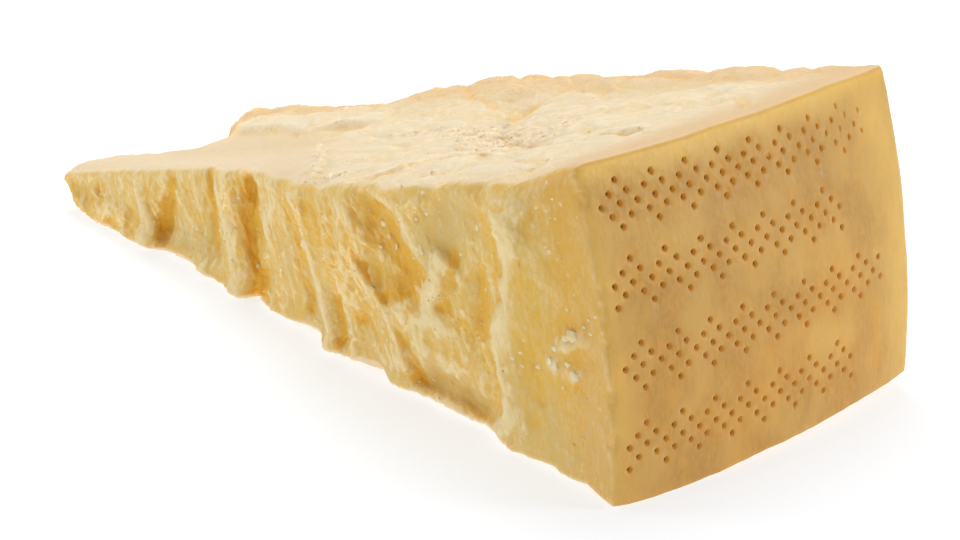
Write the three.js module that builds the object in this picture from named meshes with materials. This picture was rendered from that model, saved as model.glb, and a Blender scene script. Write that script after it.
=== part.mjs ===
// A broken chunk of hard cheese: a wedge split from a large wheel, with the wheel's rind on its
// thick end and on its back. It lies on one radial cut, and the other radial cut is its sloping top.
//
// Millimetres, +Z up. The chunk is modelled with x = 0 at the foot of the rind, the wheel's axis
// along Y at x = -WHEEL_RADIUS, and y = 0 at the near edge of the rind. +X points to the rind and
// -Y to the broken face. At the end it is moved so that the middle of its underside is the origin.

import * as THREE from 'three';
import { mergeVertices } from 'three/addons/utils/BufferGeometryUtils.js';

// Driving dimensions
const WHEEL_RADIUS = 210;      // from the wheel's axis to its rind
const CHUNK_WIDTH = 96;        // along the wheel's axis, from the break to the wheel's flat side
const RIND_HEIGHT = 69.7;      // from the lower cut to the upper cut, at the rind
const TIP_HEIGHT = 11;         // what is left of the wedge's thin edge
const TIP_OVERRUN = 5;         // how far the thin edge reaches past the wheel's axis
const TIP_WEAR = 4;            // how far the thin edge's lower side is worn back
const TIP_BITE = 6;            // how far the thin edge has crumbled back behind its near corner
const RIND_BULGE = 4;          // swelling of the rind between its near edge and the heel
const HEEL_RADIUS = [4.2, 2.6];        // round edge between the rind and the wheel's flat side,
                               // along its foot and along its top
const HEEL_TAPER = 2;          // how much narrower the chunk is along its foot than along its top
const FOOT_WEAR = 1.2;         // how far the hidden lower edges are worn off the ground
const EDGE_BAND = 0.06;        // part of the underside, at each edge, that the worn edges take
const WEAR_HEIGHT = 8;         // how far up the thin edge its wear reaches
const CALM_RIND = [10, 24];    // the upper cut's relief fades out over this distance from the rind
const CREST_REACH = 14;        // how far the back edge's rise and fall reaches across the upper cut
const TIP_REACH = [-209, -188];        // where the thin edge's own outline fades out, in x
const MESH_REACH = 2;          // least distance over which a crag fades, so that the grid shows it

// Grid lines of the one closed surface, along the wedge, across it and up it
const CELLS_ALONG = 62;
const CELLS_ACROSS = 19;
const CELLS_UP = 20;

// Where the break runs, as y over x: along the ground, and along its upper edge
const BREAK_FOOT = [[-216, 41], [-190, 37.5], [-150, 30.5], [-120, 26], [-104, 20], [-75, 15],
  [-40, 10], [0, 0]];
const BREAK_BROW = [[-216, 40], [-190, 37], [-150, 30.5], [-120, 20.5], [-90, 8], [-62, 0.8],
  [-40, 0], [0, 0]];

// Crags of the broken face. Each follows a path of (x, z) points from its foot up and swells or
// sinks the face by out, fading over one distance on the tip's side of it, one on the rind's side.
const CRAGS = [
  { path: [[-209, 7], [-197, 12]], tipSide: 4, rindSide: 3, out: -1.1 }, // dimples in the tip
  { path: [[-212, 2], [-202, 2.5]], tipSide: 3, rindSide: 3, out: 1.2 }, // lump under the tip
  { path: [[-199, 5], [-192, 5]], tipSide: 2.5, rindSide: 2.5, out: 1.6 },         // crumbs
  { path: [[-190, 2], [-184, 2]], tipSide: 3, rindSide: 3, out: 1 },
  { path: [[-181, 4], [-181, 14]], tipSide: 4.5, rindSide: 3.5, out: 1.8 },        // round boss
  { path: [[-175, 6], [-171.5, 11], [-167, 20]], tipSide: 2, rindSide: 3.5, out: -3.2 },   // notch
  { path: [[-169, 4], [-160, 9], [-157, 11]], tipSide: 7, rindSide: 6, out: -1.6 },
  { path: [[-155, 3], [-149, 6]], tipSide: 3.5, rindSide: 3, out: 1.2 },
  { path: [[-150, 12], [-147, 29]], tipSide: 3, rindSide: 1.3, out: -2 },          // groove
  { path: [[-143, 0], [-143.5, 17], [-141, 30]], tipSide: 3, rindSide: 5, out: 2.4 },  // column
  { path: [[-134.5, 2], [-133.5, 15], [-129, 31]], tipSide: 3.5, rindSide: 4.5, out: -4.4 },
  { path: [[-125, 22], [-117, 33], [-116, 39]], tipSide: 1.8, rindSide: 5, out: 1.7 },     // rib
  { path: [[-121, 4], [-118, 17]], tipSide: 4, rindSide: 5, out: 1.5 },
  { path: [[-110, 6], [-108, 15], [-107, 27]], tipSide: 3, rindSide: 2, out: -2.3 },
  { path: [[-103, 1], [-102.5, 21], [-104.5, 41]], tipSide: 1.5, rindSide: 5, out: 2.3 },
  { path: [[-97, 4], [-95, 15]], tipSide: 3, rindSide: 2, out: -1.7 },
  { path: [[-92.5, 3], [-92, 24]], tipSide: 1, rindSide: 4, out: 1.6 },            // upright edge
  { path: [[-87, 13], [-84, 14]], tipSide: 2.5, rindSide: 2.5, out: -1.3 },
  { path: [[-88, 19], [-86, 29], [-82, 42]], tipSide: 3, rindSide: 6, out: 1.8 },  // lobe
  { path: [[-73, 11], [-75, 21], [-79, 29]], tipSide: 5, rindSide: 1.5, out: 1.8 },
  { path: [[-62, 31], [-60, 36], [-66, 47]], tipSide: 8.5, rindSide: 3.6, out: -5.6 },     // hollow
  { path: [[-71, 23], [-62, 29], [-55, 34], [-51, 41]], tipSide: 2, rindSide: 5.5, out: 2.4 },
  { path: [[-53, 29], [-46, 43]], tipSide: 2, rindSide: 2.5, out: -2.2 },          // pockets
  { path: [[-43, 26], [-39.5, 33], [-38.5, 40]], tipSide: 3, rindSide: 1.3, out: -2.8 },
  { path: [[-66, 17], [-58, 21], [-52, 20]], tipSide: 4, rindSide: 4, out: 2 },    // draped lumps
  { path: [[-67, 5], [-56, 6], [-46, 4.5]], tipSide: 4.5, rindSide: 3.5, out: -4.2 },      // undercut
  { path: [[-81, 6], [-74, 8]], tipSide: 4.5, rindSide: 4, out: 1.8 },
  { path: [[-49, 48], [-43, 53]], tipSide: 6.5, rindSide: 6, out: -2.2 },          // smooth flake
  { path: [[-43, 6], [-40, 16], [-42, 21], [-36, 35], [-36, 43]], tipSide: 1.2, rindSide: 13,
    out: 3.4 },                                                          // step up
  { path: [[-34, 9], [-34, 31]], tipSide: 4, rindSide: 6, out: 0.8 },
  { path: [[-29, 51], [-29, 61]], tipSide: 4, rindSide: 5, out: 1 },
  { path: [[-18, 27], [-12, 33]], tipSide: 3, rindSide: 3, out: 1.4 },   // cluster of crumbs
];

// Swells and sinks of the upper cut, along paths of (x, y) points towards the rind: they fade over
// one distance towards the back and one towards the break
const UPPER_SWELLS = [
  { path: [[-190, 64], [-175, 58], [-150, 54]], tipSide: 11, rindSide: 14, out: -2.6 },    // dish
  { path: [[-210, 91], [-200, 84], [-190, 76], [-174, 73], [-161, 68], [-147, 70]], tipSide: 15,
    rindSide: 1, out: 2 },                                               // torn layer
  { path: [[-108, 82], [-98, 76], [-92, 66]], tipSide: 4, rindSide: 6, out: -2.2 },        // trough
  { path: [[-98, 68], [-80, 52], [-56, 31]], tipSide: 7, rindSide: 8, out: -2.2 },
  { path: [[-114, 62], [-109, 58]], tipSide: 2.5, rindSide: 3, out: -1.2 },
  { path: [[-108, 12], [-75, 3], [-45, 0], [-30, 1]], tipSide: 11, rindSide: 14, out: -2.2 },  // brow
];

// How far the upper cut stands above its plane along the thin edge, as height over y, and along
// the back, as height over x
const TIP_CREST = [[40, -0.2], [46, 0.8], [52, 0.4], [60, -0.6], [68, -2.2], [75, -3.8],
  [91, -4.2], [96, -3]];
const BACK_CREST = [[-215, -0.5], [-202, 0.8], [-167, 0.5], [-157, 1.4], [-147, 3.2], [-140, 3.7],
  [-132, 3.4], [-121, 4.2], [-113, 4.4], [-106, 3.4], [-97, 2.4], [-85, 2.5], [-75, 2.2],
  [-60, 1.4], [-45, 0.7], [-30, -0.3], [-15, -0.9], [0, -1.4]];

// How far the lower edges stand off the ground: under the break, as height over x, and under the
// rind, as height over the part of its width
const BREAK_LIFT = [[-214, 1.6], [-208, 0.6], [-202, 0.3], [-196, 0.7], [-184, 0.1], [-178, 0.4],
  [-172, 1.2], [-166, 1.9], [-160, 1.9], [-154, 1.1], [-148, 0.9], [-142, 0], [-136, 0.6],
  [-124, 0.8], [-118, 1.3], [-112, 2.4], [-106, 3.4], [-101, 1.1], [-94, 1.1], [-90, 3],
  [-81, 3.2], [-76, 0.2], [-70, 1], [-46, 1], [-40, 1.4], [-34, 0.5], [-22, 1.2], [-16, 0.6],
  [-10, 1.8], [-4, 0.8], [0, 0.4]];
const RIND_LIFT = [[0, 0.4], [0.2, 0.3], [0.3, 0.7], [0.4, 1.3], [0.5, 1.9], [0.6, 2.2],
  [0.8, 3.4], [1, 4.4]];

// Smaller unevenness: half height and length of its waves, in mm
const ROUGH_FACE = { height: 0.7, along: 6, up: 11, seed: 3 };
const ROUGH_TOP = { height: 0.35, along: 11, up: 9, seed: 17 };
const ROUGH_TIP = { height: 1.2, along: 7, up: 5, seed: 29 };

const lerp = THREE.MathUtils.lerp;
const smoothstep = THREE.MathUtils.smoothstep;

// Straight lines between points of (x, value)
function valueAt(points, x) {
  let last = points[0];
  for (const next of points) {
    if (x <= next[0] && next !== last) {
      return lerp(last[1], next[1], Math.max(0, (x - last[0]) / (next[0] - last[0])));
    }
    last = next;
  }
  return last[1];
}

// A repeatable random number from 0 to 1 for a grid corner
function cornerValue(i, j, seed) {
  const wave = Math.sin(i * 127.1 + j * 311.7 + seed * 74.7) * 43758.5453;
  return wave - Math.floor(wave);
}

// Smooth noise from -1 to 1: corner values joined by eased lines
function roughness(u, v, { height, along, up, seed }) {
  const [a, b] = [u / along, v / up];
  const [i, j] = [Math.floor(a), Math.floor(b)];
  const [f, g] = [smoothstep(a - i, 0, 1), smoothstep(b - j, 0, 1)];
  const low = lerp(cornerValue(i, j, seed), cornerValue(i + 1, j, seed), f);
  const high = lerp(cornerValue(i, j + 1, seed), cornerValue(i + 1, j + 1, seed), f);
  return height * (2 * lerp(low, high, g) - 1);
}

// Height of one crag or swell at (u, v): a bell across its path, wider on one side than the other
function strokeAt(u, v, { path, tipSide, rindSide, out }) {
  let nearest = Infinity;
  let reach = tipSide;
  for (let k = 0; k + 1 < path.length; k += 1) {
    const [du, dv] = [path[k + 1][0] - path[k][0], path[k + 1][1] - path[k][1]];
    const [pu, pv] = [u - path[k][0], v - path[k][1]];
    const part = THREE.MathUtils.clamp((pu * du + pv * dv) / (du * du + dv * dv), 0, 1);
    const distance = Math.hypot(pu - part * du, pv - part * dv);
    if (distance < nearest) {
      nearest = distance;
      const side = (du * pv - dv * pu) / (Math.hypot(du, dv) * Math.max(distance, 1e-6));
      reach = lerp(rindSide, tipSide, smoothstep(side, -1, 1));
    }
  }
  return out * Math.exp(-((nearest / Math.hypot(reach, MESH_REACH)) ** 2));
}

function strokesAt(u, v, strokes) {
  return strokes.reduce((sum, stroke) => sum + strokeAt(u, v, stroke), 0);
}

// The rind is part of the wheel's round side, so it leans back as it rises
function rindX(z) {
  return Math.sqrt(WHEEL_RADIUS ** 2 - z ** 2) - WHEEL_RADIUS;
}

// The upper cut slopes in one plane from the top of the rind to the thin edge
function upperCutZ(x) {
  const part = (x + WHEEL_RADIUS) / (rindX(RIND_HEIGHT) + WHEEL_RADIUS);
  return lerp(TIP_HEIGHT, RIND_HEIGHT, part);
}

// The broken face: it leans between its foot and its brow, and carries the crags
function breakY(x, z) {
  const rise = THREE.MathUtils.clamp(z / upperCutZ(x), 0, 1);
  const plain = lerp(valueAt(BREAK_FOOT, x), valueAt(BREAK_BROW, x), rise);
  const calm = smoothstep(-x, 0, 14);
  return plain - calm * (strokesAt(x, z, CRAGS) + roughness(x, z, ROUGH_FACE));
}

// How far the upper cut stands above its plane
function upperSwell(x, y) {
  const tip = valueAt(TIP_CREST, y) * (1 - smoothstep(x, ...TIP_REACH));
  const crest = valueAt(BACK_CREST, x) * Math.exp(-(((CHUNK_WIDTH - y) / CREST_REACH) ** 2));
  const calm = smoothstep(-x, ...CALM_RIND);
  return tip + crest + calm * (strokesAt(x, y, UPPER_SWELLS) + roughness(x, y, ROUGH_TOP));
}

// How far the underside's worn edges stand off the ground: s runs along it and w across it
function underLift(x, s, w) {
  const front = valueAt(BREAK_LIFT, x) * (1 - smoothstep(w, 0, EDGE_BAND));
  const back = FOOT_WEAR * smoothstep(w, 1 - EDGE_BAND, 1);
  const tip = FOOT_WEAR * (1 - smoothstep(s, 0, EDGE_BAND));
  const rind = valueAt(RIND_LIFT, w) * smoothstep(s, 0.86, 1);
  return Math.max(front, back, tip, rind);
}

// The square corner of the block becomes the round heel: x and y within one radius of the corner
// are moved so that the two outer sides fall on a quarter circle
function roundHeel(point, edgeX, backY, radius) {
  const u = (point.x - (edgeX - radius)) / radius;
  const v = (point.y - (backY - radius)) / radius;
  if (u > 0 && v > 0) {
    point.x = edgeX - radius + radius * u * Math.sqrt(1 - Math.min(v, 1) ** 2 / 2);
    point.y = backY - radius + radius * v * Math.sqrt(1 - Math.min(u, 1) ** 2 / 2);
  }
}

// Turns a point of the unit block, s along it, w across it and t up it, into a point of the chunk
function placePoint(s, w, t) {
  const plainZ = t * upperCutZ(lerp(-WHEEL_RADIUS, rindX(t * RIND_HEIGHT), s));
  const edgeX = rindX(plainZ) + RIND_BULGE * Math.sin(Math.PI * w) ** 0.7 * smoothstep(s, 0.6, 1);
  const worn = TIP_WEAR * (1 - smoothstep(plainZ, 0, WEAR_HEIGHT)) + TIP_BITE * smoothstep(w, 0, 0.5);
  const x = lerp(worn - WHEEL_RADIUS - TIP_OVERRUN, edgeX, s);
  const backY = CHUNK_WIDTH - HEEL_TAPER * (1 - t);
  const y = lerp(breakY(x, plainZ), backY, w);
  const broken = (1 - smoothstep(s, 0, 0.04)) * roughness(y, plainZ, ROUGH_TIP);
  const point = new THREE.Vector3(x + broken, y, 0);
  point.z = plainZ + t * upperSwell(x, y) + (1 - t) * underLift(x, s, w);
  roundHeel(point, edgeX, backY, lerp(...HEEL_RADIUS, t));
  return point;
}

// One closed surface: a unit block's grid, with every corner moved to its place on the chunk
function buildChunkGeometry() {
  const block = new THREE.BoxGeometry(1, 1, 1, CELLS_ALONG, CELLS_ACROSS, CELLS_UP);
  block.deleteAttribute('normal');
  block.deleteAttribute('uv');
  const chunk = mergeVertices(block);
  const corners = chunk.attributes.position;
  for (let i = 0; i < corners.count; i += 1) {
    const point = placePoint(corners.getX(i) + 0.5, corners.getY(i) + 0.5, corners.getZ(i) + 0.5);
    corners.setXYZ(i, point.x, point.y, point.z);
  }
  chunk.computeBoundingBox();
  const middle = chunk.boundingBox.getCenter(new THREE.Vector3());
  chunk.translate(-middle.x, -middle.y, -chunk.boundingBox.min.z);
  chunk.computeVertexNormals();
  return chunk;
}

const cheese = new THREE.MeshStandardMaterial({ color: 0xdcb878, roughness: 0.6, metalness: 0 });

const chunk = new THREE.Mesh(buildChunkGeometry(), cheese);
chunk.name = 'parmesan_chunk';

const group = new THREE.Group();
group.add(chunk);

export default group;
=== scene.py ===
import bpy
import numpy as np
from mathutils import Matrix, Vector


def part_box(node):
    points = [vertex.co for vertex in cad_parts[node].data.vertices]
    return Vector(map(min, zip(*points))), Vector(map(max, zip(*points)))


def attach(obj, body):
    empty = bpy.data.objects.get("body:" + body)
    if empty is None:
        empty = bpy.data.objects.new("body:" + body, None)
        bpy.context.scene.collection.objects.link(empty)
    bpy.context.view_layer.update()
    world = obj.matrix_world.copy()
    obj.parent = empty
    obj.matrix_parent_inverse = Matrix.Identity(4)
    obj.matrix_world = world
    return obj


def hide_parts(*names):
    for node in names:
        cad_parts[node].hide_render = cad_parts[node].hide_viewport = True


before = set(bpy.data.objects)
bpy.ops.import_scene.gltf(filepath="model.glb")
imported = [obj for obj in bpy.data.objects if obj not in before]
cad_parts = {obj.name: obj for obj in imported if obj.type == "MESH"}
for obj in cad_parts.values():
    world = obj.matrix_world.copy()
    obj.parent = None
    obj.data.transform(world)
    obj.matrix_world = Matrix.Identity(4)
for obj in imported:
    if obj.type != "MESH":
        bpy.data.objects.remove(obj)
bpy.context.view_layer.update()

# ---------------------------------------------------------------------------------------------
# The cheese. A wedge of a big wheel, aged until it is hard and grainy: two radial cuts make its
# underside and its sloping top, one side is broken open with a knife's point so that it splits
# along its grain, and the thick end and the back are the wheel's own dried rind.

MM = 0.001
WHEEL_RADIUS = 210.0     # from the wheel's axis to its rind
CHUNK_WIDTH = 96.0       # along the wheel's axis, from the break to the wheel's flat side
RIND_HEIGHT = 69.7       # from the lower cut to the upper cut, at the rind
TIP_HEIGHT = 11.0        # what is left of the wedge's thin edge
TIP_OVERRUN = 5.0        # how far the thin edge reaches past the wheel's axis
TIP_WEAR = 4.0           # how far the thin edge's lower side is worn back
TIP_BITE = 6.0           # how far the thin edge has crumbled back behind its near corner
RIND_BULGE = 4.0         # swelling of the rind between its near edge and the heel
HEEL_RADIUS = (3.8, 1.6) # round edge between rind and flat side, along its foot and along its top
HEEL_TAPER = 2.0         # how much narrower the chunk is along its foot than along its top
FOOT_WEAR = 1.2          # how far the hidden lower edges are worn off the ground
EDGE_BAND = 0.06         # part of the underside, at each edge, that the worn edges take
LEAN_BAND = 0.12         # part of the width over which the lean of the flakes fades out

# The chunk is worked out in millimetres with x = 0 at the foot of the rind, y = 0 at the rind's
# near edge and z = 0 on the ground. Its rind and its flat side touch the solid's own box.
solid_low, solid_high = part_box("parmesan_chunk")
CHUNK_ORIGIN = np.array([solid_high[0] / MM - RIND_BULGE, solid_high[1] / MM - CHUNK_WIDTH,
                         solid_low[2] / MM])

# Grid lines of the one closed surface, along the wedge, across it and up it
CELLS_ALONG, CELLS_ACROSS, CELLS_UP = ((460, 240, 185))
FINISHED_TRIANGLES = 196000

# Where the break runs, as y over x: along the ground, and along its upper edge
BREAK_FOOT = [(-216, 41), (-190, 37.5), (-150, 30.5), (-120, 26), (-104, 20), (-75, 15),
              (-40, 10), (0, 0)]
BREAK_BROW = [(-216, 40), (-190, 37), (-150, 30.5), (-120, 20.5), (-90, 8), (-62, 0.8),
              (-40, 0), (0, 0)]

# Crags of the broken face: a path of (x, z) points from its foot up, the reach on the tip's side
# of the path and on the rind's side, and how far the face swells out (or sinks, if negative)
CRAGS = [
    ([(-209, 8), (-206, 9)], 3, 3, -1.0),                     # dimples in the tip
    ([(-199, 10), (-197, 13)], 3, 2.5, -1.3),
    ([(-212, 2), (-202, 2.5)], 3, 3, 1.2),                    # lump under the tip
    ([(-199, 5), (-194, 6), (-192, 5)], 2.5, 2, 1.7),         # crumbs
    ([(-190, 3), (-189, 13)], 2.5, 2.5, 0.9),
    ([(-188, 1), (-180, 2)], 3, 3, 1.2),
    ([(-181, 4), (-181, 14)], 4.5, 3.5, 1.8),                 # rounded boss
    ([(-175, 6), (-171.5, 11), (-169, 15)], 2, 3.5, -3.4),    # notch
    ([(-167, 18), (-165, 22)], 2.5, 2, -1.8),
    ([(-169, 4), (-160, 9), (-157, 11)], 7, 6, -1.6),
    ([(-155, 3), (-149, 6)], 3.5, 3, 1.2),
    ([(-150, 12), (-148.5, 20), (-147, 29)], 3, 1.3, -2.0),   # groove
    ([(-143, 0), (-143.5, 17), (-141, 30)], 3, 5, 2.4),       # first column
    ([(-134.5, 2), (-133.5, 15), (-131, 26), (-129, 31)], 3.5, 4.5, -4.4),   # deep groove
    ([(-130.5, 28), (-128, 31)], 2, 2, -1.5),
    ([(-125, 22), (-121, 28), (-117, 33), (-116, 39)], 1.8, 5, 1.7),         # slanting rib
    ([(-121, 4), (-118, 17)], 4, 5, 1.5),
    ([(-110, 6), (-108, 15), (-107, 27)], 3, 2, -2.3),        # groove
    ([(-103, 1), (-102.5, 21), (-104.5, 41)], 1.5, 5, 2.3),   # column
    ([(-97, 4), (-95, 15)], 3, 2, -1.7),
    ([(-92.5, 3), (-93, 15), (-92, 24)], 1, 4, 1.6),          # sharp upright edge
    ([(-87, 13), (-84, 14)], 2.5, 2.5, -1.3),
    ([(-88, 19), (-86, 29), (-82, 42)], 3, 6, 1.8),           # lobe
    ([(-73, 11), (-75, 21), (-79, 29)], 5, 1.5, 1.8),         # lip of the hollow
    ([(-62, 31), (-60, 36), (-66, 47)], 8.5, 3.6, -5.6),      # the hollow
    ([(-71, 23), (-62, 29), (-55, 34), (-51, 41)], 2, 5.5, 2.4),
    ([(-53, 29), (-46, 43)], 2, 2.5, -1.5),                   # pockets
    ([(-43, 26), (-39.5, 33), (-38.5, 40)], 3, 1.3, -1.9),
    ([(-66, 17), (-58, 23), (-52, 23)], 3.5, 4, 1.6),         # draped lumps
    ([(-62, 15), (-54, 13), (-50, 17)], 3, 3, 1.2),
    ([(-67, 5), (-56, 6), (-46, 4.5)], 4.5, 3.5, -4.2),       # undercut
    ([(-81, 6), (-74, 8)], 4.5, 4, 1.8),
    ([(-49, 48), (-43, 53)], 6.5, 6, -2.2),                   # smooth shell-like flake
    ([(-40, 5), (-38, 8), (-37, 14), (-37.6, 20), (-38.8, 25), (-37.2, 30), (-34.6, 34), (-32.4, 39),
      (-31.2, 44), (-32, 52)], 1.0, 12, 3.0),                 # step up to the smooth part
    ([(-34, 9), (-34, 31)], 4, 6, 0.8),
    ([(-29, 51), (-29, 61)], 4, 5, 1.0),
    ([(-14, 32), (-10, 34)], 2.5, 2.5, 1.5),                  # cluster of crumbs
    ([(-20, 26), (-17, 31)], 2, 2.4, 1.1),
    ([(-14, 25), (-11, 26)], 2, 2, 1.3),
]

# The crags lean towards the rind and up: one that stands out by 1 mm towards -Y also stands this
# far towards +X and +Z
CRAG_LEAN = (0.8, 0.37)

# Swells and sinks of the upper cut, along paths of (x, y) points towards the rind: the first
# reach is towards the back, the second towards the break
UPPER_SWELLS = [
    ([(-190, 64), (-175, 58), (-150, 54)], 11, 14, -2.6),     # knife's dish
    ([(-210, 91), (-200, 84), (-190, 76), (-174, 73), (-161, 68), (-147, 70)], 15, 1.0, 2.0),
    ([(-159, 82), (-156, 84)], 5, 4, 1.0),
    ([(-108, 82), (-98, 76), (-92, 66)], 4, 6, -1.8),         # crumbled trough
    ([(-98, 68), (-80, 52), (-56, 31)], 7, 8, -1.8),
    ([(-114, 61), (-109, 58)], 2.5, 3, -1.0),
    ([(-108, 12), (-75, 3), (-45, 0), (-30, 1)], 11, 14, -2.2),   # brow
]

# How far the upper cut stands above its plane: along the thin edge, as height over y, and along
# the back, as height over x
TIP_CREST = [(40, -0.2), (46, 0.8), (52, 0.4), (60, -0.6), (68, -2.2), (75, -3.8), (84, -3.8),
             (90, -1.8), (96, 0.2)]
BACK_CREST = [(-215, -0.5), (-202, 0.8), (-167, 0.3), (-157, 0.5), (-148, 1.7), (-140, 3.4),
              (-132, 3.4), (-121, 4.2), (-113, 4.4), (-106, 3.4), (-97, 2.4), (-85, 2.5),
              (-75, 2.2), (-60, 1.4), (-45, 0.7), (-30, -0.3), (-15, -0.9), (0, -1.4)]

# Finer marks of the upper cut, in the same way: cracks, slits and flaked-off chips
UPPER_MARKS = [
    ([(-84, 8), (-78, 9), (-74, 14), (-70.5, 19.7), (-66.7, 24), (-64, 26)], 0.6, 0.6, -0.6),   # crack
    ([(-85, 7), (-79, 9), (-75, 14), (-71.5, 19.7), (-67.7, 24), (-65, 26)], 6, 0.8, 0.6),
    ([(-74, 47), (-70, 42), (-66, 37)], 1.5, 2.5, -2.0),      # holes among the crumbs
    ([(-56, 36), (-51, 29)], 1.5, 2.0, -1.6),
    ([(-41, 37), (-36, 38), (-31, 41)], 1.2, 0.8, -1.4),      # slit
    ([(-41, 39), (-35, 40), (-30, 43)], 5, 0.8, 0.6),
    ([(-55, 47), (-49, 42)], 1.5, 1.5, -1.0),                 # chips
    ([(-30, 68), (-25, 63), (-22, 58)], 1.6, 1.6, -1.3),
    ([(-36, 66), (-31, 70)], 1.5, 1.5, -0.7),
    ([(-88, 84), (-80, 82)], 3, 1.5, -0.8),
    ([(-48, 80), (-38, 74)], 6, 0.8, 0.6),
    ([(-136, 49), (-124, 38), (-110, 24), (-99, 11)], 0.8, 6, 0.5),   # edge of the knife's smear
]

# How far the lower edges stand off the ground: under the break, as height over x, and under the
# rind, as height over the part of its width
BREAK_LIFT = [(-214, 1.6), (-208, 0.5), (-202, 0.2), (-196, 0.5), (-184, 0), (-178, 0.2),
              (-172, 1.0), (-166, 1.7), (-160, 1.7), (-154, 0.9), (-148, 0.7), (-142, 0),
              (-136, 0.4), (-124, 0.5), (-118, 1.1), (-112, 2.2), (-106, 3.2), (-102, 0.9),
              (-93, 0.9), (-89, 2.8), (-82, 3.0), (-78, 0.1), (-70, 0.7), (-46, 0.8),
              (-40, 1.2), (-34, 0.3), (-22, 1.0), (-16, 0.4), (-10, 1.6), (-4, 0.6), (0, 0.3)]
RIND_LIFT = [(0, 0.2), (0.2, 0), (0.3, 0.2), (0.4, 0.8), (0.5, 1.4), (0.6, 1.7), (0.8, 2.8),
             (1, 3.6)]

# Painted light on the broken face: amber shade in its grooves, notches and hollows (and amber in a
# band beside the rind), pale highlights on its crests and lit edges, and dull grey shade under its
# undercuts and near its foot. Each is a path of (x, z) points, a reach and a strength
AMBER_SHADE = [
    ([(-211, 8), (-207, 8)], 2.5, 0.5), ([(-200, 10), (-197, 13)], 2.5, 0.6),
    ([(-196, 14), (-185, 16)], 2.0, 0.3), ([(-173, 8), (-171, 13), (-169, 15)], 2.6, 1.2),
    ([(-167, 18), (-165, 21)], 2.4, 1.0), ([(-150, 22), (-147, 29)], 2.2, 0.7),
    ([(-149.5, 15), (-148, 19)], 1.4, 0.8), ([(-135, 3), (-134, 15), (-131, 25)], 3.6, 1.0),
    ([(-131, 30), (-127, 27)], 2.4, 1.2), ([(-128, 23), (-126, 21)], 2.6, 0.6),
    ([(-118, 36), (-119, 32)], 1.4, 0.7), ([(-111, 36), (-107, 31)], 4.0, 0.4),
    ([(-113, 23), (-109, 25)], 2.5, 0.4), ([(-113, 19), (-112, 20)], 1.5, 0.6),
    ([(-112, 15), (-109, 11)], 2.3, 0.6), ([(-98, 39), (-94, 34)], 3.5, 0.5),
    ([(-89, 43), (-84, 44)], 2.5, 0.5), ([(-95, 13), (-97, 4)], 1.8, 0.5),
    ([(-90, 11), (-86, 13)], 2.0, 0.4), ([(-72, 47), (-62, 49)], 3.5, 0.6),
    ([(-69, 41), (-66, 37), (-61, 33)], 4.2, 0.9), ([(-61, 31), (-56, 36)], 2.4, 0.9),
    ([(-67, 25), (-63, 29)], 2.4, 0.8), ([(-70, 5), (-67, 6)], 2.0, 0.7),
    ([(-51, 37), (-46, 43)], 1.8, 0.6), ([(-50, 31), (-48, 26)], 1.8, 0.5),
    ([(-38.5, 41), (-38, 35), (-41, 26)], 1.1, 1.0), ([(-36, 54), (-35, 56)], 1.2, 0.6),
    ([(-31, 59), (-26, 61)], 1.2, 0.8), ([(-15, 67), (-15, 56), (-14, 45)], 3.6, 1.3),
    ([(-23, 44), (-20, 36)], 3.5, 0.45), ([(-9, 32), (-6, 20), (-5, 12)], 3.2, 0.5),
    ([(-30, 21), (-27, 15)], 4.0, 0.4), ([(-50, 18), (-48, 16)], 2.0, 0.5),
    ([(-45, 13), (-42, 9)], 1.8, 0.5), ([(-27, 7), (-15, 6)], 3.0, 0.35),
    ([(-27, 10), (-26, 42)], 8.0, 0.95), ([(-14, 12), (-14, 60)], 8.0, 0.9),
]
PAINTED_HIGHLIGHTS = [
    ([(-199, 5), (-193, 6)], 2.0, 0.9), ([(-197, 8), (-195, 10)], 1.2, 0.8),
    ([(-181, 4), (-181, 13)], 2.8, 0.6), ([(-190, 5), (-189, 13)], 1.8, 0.4),
    ([(-143, 1), (-144, 11), (-143, 19)], 3.0, 0.7), ([(-155, 5), (-148, 5)], 2.0, 0.4),
    ([(-160, 13), (-157, 11)], 1.3, 0.7), ([(-124, 23), (-117, 31), (-112, 34)], 1.8, 0.5),
    ([(-107, 27), (-103, 22)], 1.5, 0.7), ([(-104.5, 39), (-103.5, 41)], 1.3, 1.0),
    ([(-102, 21), (-100, 3)], 1.8, 0.6), ([(-95, 18), (-93, 19)], 1.0, 0.9),
    ([(-92.5, 23), (-93, 13)], 0.8, 0.8), ([(-88, 21), (-84, 26), (-80, 23)], 3.4, 0.6),
    ([(-79, 29), (-76, 23), (-74, 21)], 1.3, 1.0), ([(-84, 14), (-81, 15)], 1.1, 1.0),
    ([(-78, 9), (-72, 15)], 3.4, 0.5), ([(-71, 42), (-69, 42.5)], 1.0, 1.0),
    ([(-66, 47), (-61, 46)], 0.9, 0.8), ([(-68, 14), (-66, 15)], 1.0, 0.9),
    ([(-67, 20), (-60, 25), (-55, 32)], 3.2, 0.8), ([(-53, 39), (-48, 42)], 1.8, 0.5),
    ([(-55, 22), (-50, 24)], 3.0, 0.5), ([(-57, 10), (-53, 8)], 1.8, 0.7),
    ([(-44, 21), (-41, 19), (-40, 15)], 1.2, 1.0), ([(-36, 41), (-35, 35), (-38, 25)], 1.6, 0.8),
    ([(-42, 5), (-38, 7), (-33, 9)], 2.4, 0.7), ([(-30, 53), (-31, 45), (-35, 31)], 3.2, 0.5),
    ([(-33, 59), (-28, 57)], 3.0, 0.5), ([(-18, 33), (-10, 34)], 2.0, 0.8),
    ([(-20, 26), (-16, 25)], 1.4, 0.9), ([(-14, 26), (-12, 25)], 1.6, 0.8),
    ([(-8, 56), (-5, 44), (-2.5, 30), (-1, 18), (0, 6)], 1.1, 0.5),
    ([(-11.6, 69), (-7, 54), (-3.4, 37), (-1, 20), (0, 1)], 0.9, 1.0),
]
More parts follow.
